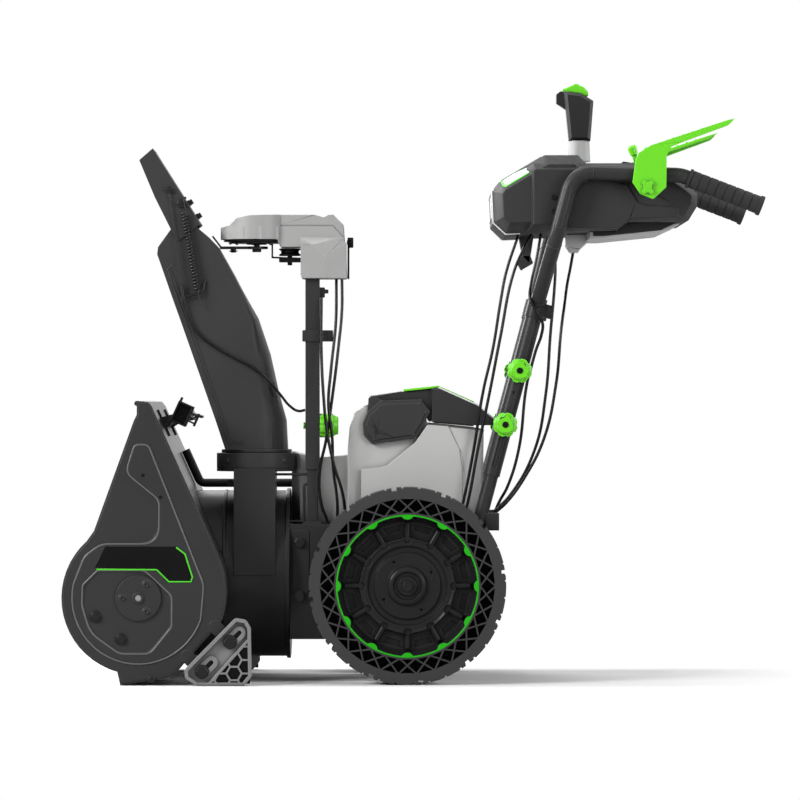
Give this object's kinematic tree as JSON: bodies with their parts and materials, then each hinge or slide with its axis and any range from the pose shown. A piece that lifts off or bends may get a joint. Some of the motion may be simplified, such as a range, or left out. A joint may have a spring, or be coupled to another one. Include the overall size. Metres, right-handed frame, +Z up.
{
  "type": "snow blower",
  "caption": "Two-stage battery snow blower with serrated auger, impeller, turning discharge chute, airless tyres, adjustable handle and joystick console.",
  "frame": {"origin": "on the ground under the middle of the machine's bounding box", "axes": "+X to the rear (operator), +Y to the operator's right, +Z up; the auger faces -X"},
  "size_m": [1.3571, 0.65, 1.1753],
  "materials": {
    "black_steel": "semi-gloss black powder coat with a fine orange peel",
    "grey_steel": "silver-grey powder coat",
    "bare_steel": "zinc-plated steel, slightly dull",
    "dark_bolts": "black-oxide fasteners",
    "cast_housing": "as-cast aluminium",
    "black_plastic": "finely textured black plastic",
    "gloss_black": "smooth black plastic with a soft sheen",
    "grey_plastic": "textured pale grey plastic",
    "green_plastic": "bright green moulded plastic",
    "tyre_rubber": "dry airless-tyre rubber",
    "grip_rubber": "soft black grip rubber",
    "cable_sheath": "smooth black cable sheath",
    "lens": "clear lamp lens over a white reflector"
  },
  "bodies": {
    "chassis": {"auger_housing": "black_steel", "side_plates": "black_steel", "scraper_bar": "black_steel", "bearing_flanges": "black_steel", "impeller_drum": "black_steel", "chute_ring": "black_plastic", "chassis_bolts": "dark_bolts", "chassis_frame": "black_steel", "transaxle": "cast_housing", "auger_motor": "cast_housing", "auger_gearbox": "cast_housing", "battery_hood": "grey_plastic", "hood_panels": "black_plastic", "battery_packs": "black_plastic", "turret_post": "black_steel", "turret_base": "black_plastic", "turret_cover": "grey_plastic", "turret_cables": "cable_sheath", "braces": "black_steel", "lower_tubes": "black_steel"},
    "impeller_unit": {"impeller": "black_steel"},
    "auger": {"auger_shaft": "bare_steel", "auger_flights": "black_steel"},
    "wheel_left": {"tyre_left": "tyre_rubber", "rim_left": "black_plastic", "rim_ring_left": "green_plastic", "half_shaft_left": "bare_steel"},
    "wheel_right": {"tyre_right": "tyre_rubber", "rim_right": "black_plastic", "rim_ring_right": "green_plastic", "half_shaft_right": "bare_steel"},
    "chute_unit": {"chute": "black_plastic", "chute_fittings": "dark_bolts", "deflector_cable": "cable_sheath", "deflector_spring": "bare_steel", "deflector_wire": "bare_steel"},
    "deflector_unit": {"deflector": "black_plastic"},
    "lid": {"battery_lid": "gloss_black", "lid_trim": "green_plastic"},
    "skid_left_unit": {"skid_left": "grey_steel"},
    "skid_right_unit": {"skid_right": "grey_steel"},
    "tool": {"cleanout_tool": "black_plastic"},
    "post_clamp": {"post_knob": "green_plastic"},
    "handle": {"handlebar": "black_steel", "console_body": "black_plastic", "console_cover": "grey_plastic", "headlights": "lens", "grips": "grip_rubber", "control_cables": "cable_sheath"},
    "clamp_lower_left": {"knob_lower_left": "green_plastic"},
    "clamp_lower_right": {"knob_lower_right": "green_plastic"},
    "clamp_upper_left": {"knob_upper_left": "green_plastic"},
    "clamp_upper_right": {"knob_upper_right": "green_plastic"},
    "auger_control": {"auger_lever": "green_plastic"},
    "drive_control": {"drive_lever": "green_plastic"},
    "gimbal": {"joystick_gimbal": "bare_steel"},
    "stick": {"joystick": "grip_rubber"},
    "stick_button": {"joystick_button": "green_plastic"},
    "speed_left": {"speed_lever_left": "green_plastic"},
    "speed_right": {"speed_lever_right": "green_plastic"}
  },
  "joints": [
    {"name": "impeller_spin", "type": "hinge", "parent": "chassis", "child": "impeller_unit", "pos_m": [-0.3, 0, 0.2068], "axis": [1, 0, 0], "continuous": true},
    {"name": "auger_spin", "type": "hinge", "parent": "chassis", "child": "auger", "pos_m": [-0.529, 0, 0.1685], "axis": [0, 1, 0], "continuous": true},
    {"name": "wheel_left_spin", "type": "hinge", "parent": "chassis", "child": "wheel_left", "pos_m": [-0.011, -0.234, 0.1905], "axis": [0, 1, 0], "continuous": true},
    {"name": "wheel_right_spin", "type": "hinge", "parent": "chassis", "child": "wheel_right", "pos_m": [-0.011, 0.234, 0.1905], "axis": [0, 1, 0], "continuous": true},
    {"name": "chute_rotate", "type": "hinge", "parent": "chassis", "child": "chute_unit", "pos_m": [-0.3068, -0.085, 0.446], "axis": [0, 0, 1], "range_deg": [-100, 100], "deforming": ["deflector_cable"]},
    {"name": "deflector_tilt", "type": "hinge", "parent": "chute_unit", "child": "deflector_unit", "pos_m": [-0.4537, -0.085, 0.9329], "axis": [0, -1, 0], "range_deg": [0, 57], "deforming": ["deflector_spring", "deflector_wire"]},
    {"name": "joystick_roll", "type": "hinge", "parent": "handle", "child": "gimbal", "pos_m": [0.3227, 0, 0.978], "axis": [1, 0, 0], "range_deg": [-25, 25]},
    {"name": "joystick_pitch", "type": "hinge", "parent": "gimbal", "child": "stick", "pos_m": [0.3227, 0, 0.978], "axis": [0, -1, 0], "range_deg": [0, 38]},
    {"name": "joystick_press", "type": "slide", "parent": "stick", "child": "stick_button", "axis": [0, 0, -1], "range_m": [0, 0.004], "stiffness_N_per_m": 400, "springref_m": -0.002},
    {"name": "auger_lever_squeeze", "type": "hinge", "parent": "handle", "child": "auger_control", "pos_m": [0.451, -0.3005, 0.959], "axis": [0, 1, 0], "range_deg": [0, 40], "stiffness_Nm_per_rad": 2, "springref_deg": -17.19},
    {"name": "drive_lever_squeeze", "type": "hinge", "parent": "handle", "child": "drive_control", "pos_m": [0.451, 0.3005, 0.959], "axis": [0, 1, 0], "range_deg": [0, 40], "stiffness_Nm_per_rad": 2, "springref_deg": -17.19},
    {"name": "speed_lever_left_turn", "type": "hinge", "parent": "handle", "child": "speed_left", "pos_m": [0.452, -0.062, 0.98], "axis": [0, 1, 0], "range_deg": [-20, 20]},
    {"name": "speed_lever_right_turn", "type": "hinge", "parent": "handle", "child": "speed_right", "pos_m": [0.452, 0.062, 0.98], "axis": [0, 1, 0], "range_deg": [-20, 20]},
    {"name": "handle_height", "type": "slide", "parent": "chassis", "child": "handle", "axis": [0.2571, 0, 0.9664], "range_m": [0, 0.08], "deforming": ["control_cables"]},
    {"name": "clamp_lower_left_turn", "type": "hinge", "parent": "chassis", "child": "clamp_lower_left", "pos_m": [0.1796, -0.19, 0.5014], "axis": [0, 1, 0], "continuous": true},
    {"name": "clamp_lower_right_turn", "type": "hinge", "parent": "chassis", "child": "clamp_lower_right", "pos_m": [0.1796, 0.19, 0.5014], "axis": [0, 1, 0], "continuous": true},
    {"name": "clamp_upper_left_turn", "type": "hinge", "parent": "handle", "child": "clamp_upper_left", "pos_m": [0.2076, -0.19, 0.6065], "axis": [0, 1, 0], "continuous": true},
    {"name": "clamp_upper_right_turn", "type": "hinge", "parent": "handle", "child": "clamp_upper_right", "pos_m": [0.2076, 0.19, 0.6065], "axis": [0, 1, 0], "continuous": true},
    {"name": "post_clamp_turn", "type": "hinge", "parent": "chassis", "child": "post_clamp", "pos_m": [-0.16, -0.12, 0.4996], "axis": [1, 0, 0], "continuous": true},
    {"name": "lid_hinge", "type": "hinge", "parent": "chassis", "child": "lid", "pos_m": [-0.079, 0, 0.549], "axis": [0, -1, 0], "range_deg": [0, 80]},
    {"name": "skid_left_height", "type": "slide", "parent": "chassis", "child": "skid_left_unit", "axis": [-0.7071, 0, -0.7071], "range_m": [0, 0.025]},
    {"name": "skid_right_height", "type": "slide", "parent": "chassis", "child": "skid_right_unit", "axis": [-0.7071, 0, -0.7071], "range_m": [0, 0.025]},
    {"name": "tool_pull_off", "type": "slide", "parent": "chassis", "child": "tool", "axis": [0.9102, 0, 0.4142], "range_m": [0, 0.04]}
  ],
  "couplings": [
    {"joint": "auger_spin", "follows": "impeller_spin", "ratio": -0.1},
    {"joint": "joystick_roll", "follows": "chute_rotate", "ratio": 0.25},
    {"joint": "joystick_pitch", "follows": "deflector_tilt", "ratio": 0.6667}
  ]
}
